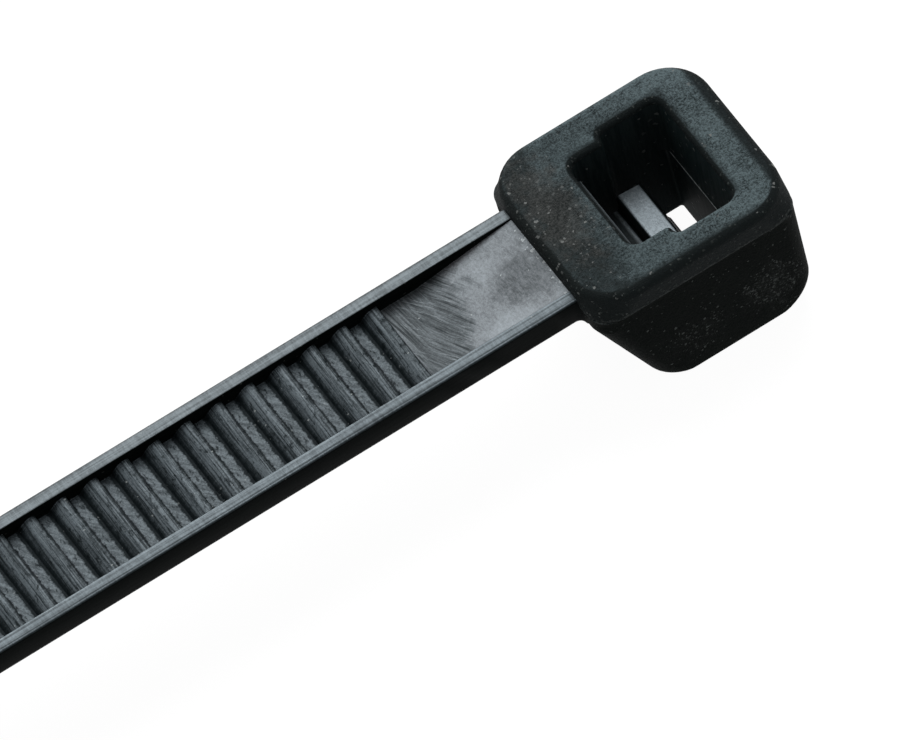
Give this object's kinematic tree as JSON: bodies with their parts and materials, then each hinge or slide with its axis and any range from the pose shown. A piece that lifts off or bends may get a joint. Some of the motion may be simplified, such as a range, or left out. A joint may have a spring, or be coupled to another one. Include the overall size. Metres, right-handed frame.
{
  "type": "cable tie",
  "caption": "Self-locking ladder cable tie: a toothed strap with side rails, a tapered tail and a slotted head with a moulded pawl that lets the strap through one way.",
  "frame": {"origin": "centre of the head on its flat exit face", "axes": "+X along the strap towards the head, +Y across the strap, +Z from the exit face to the entry face, the way the teeth point"},
  "size_m": [0.15, 0.0076, 0.0062],
  "materials": {
    "nylon": "black nylon: satin strap, finely spark-eroded head, faint moulding dust"
  },
  "bodies": {
    "root": {"tie": "nylon"}
  },
  "joints": []
}
